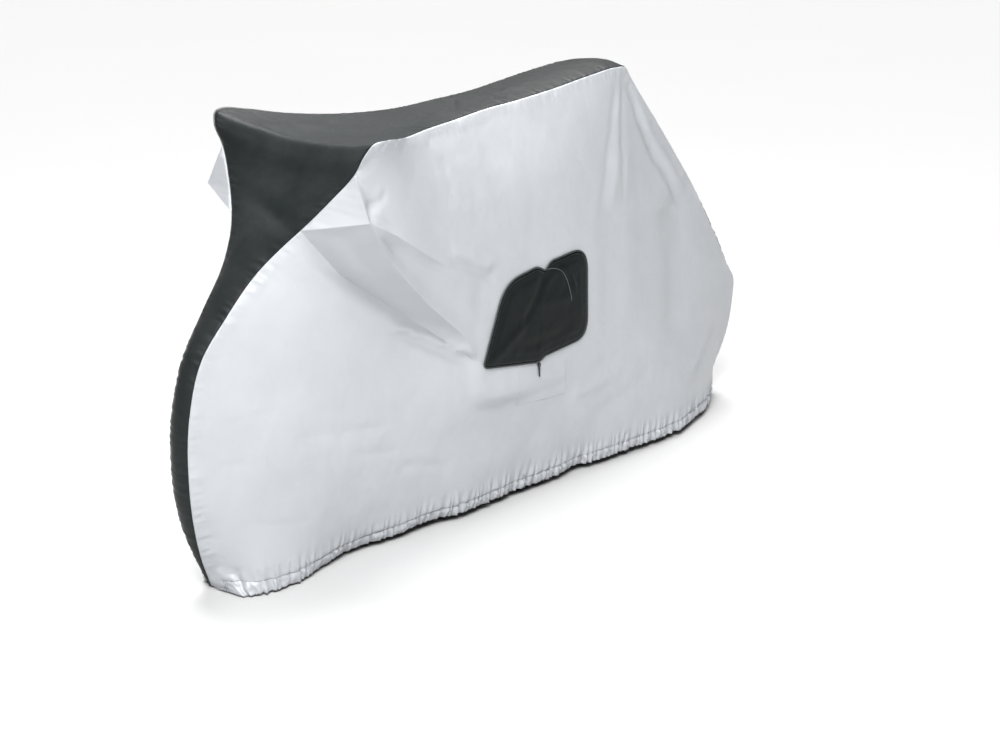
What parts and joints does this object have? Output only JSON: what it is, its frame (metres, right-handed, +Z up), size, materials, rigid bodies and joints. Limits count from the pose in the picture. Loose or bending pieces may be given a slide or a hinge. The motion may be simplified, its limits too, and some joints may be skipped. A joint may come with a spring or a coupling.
{
  "type": "bicycle cover",
  "caption": "Fitted bicycle cover with silver sides, a dark centre gusset, a gathered hem and a dark zip pouch panel on one side, in the shape it has over a bicycle.",
  "frame": {"origin": "middle of the cover's length and width, at the height of the lowest hem", "axes": "+X to the bicycle's rear, +Z up, -Y to the side with the pouch"},
  "size_m": [1.8102, 0.524, 0.9673],
  "materials": {
    "silver_cloth": "thin silver-coated nylon with a soft sheen",
    "charcoal_cloth": "matt woven nylon",
    "pouch_cloth": "matt woven nylon, two layers",
    "zip_tape": "matt tape",
    "zip_pull": "satin"
  },
  "bodies": {
    "root": {"centre_gusset": "charcoal_cloth", "near_side_panel": "silver_cloth", "far_side_panel": "silver_cloth", "pouch_panel": "pouch_cloth", "pouch_piping": "zip_tape", "zip_slider": "zip_pull", "zip_puller": "zip_pull"}
  },
  "joints": []
}
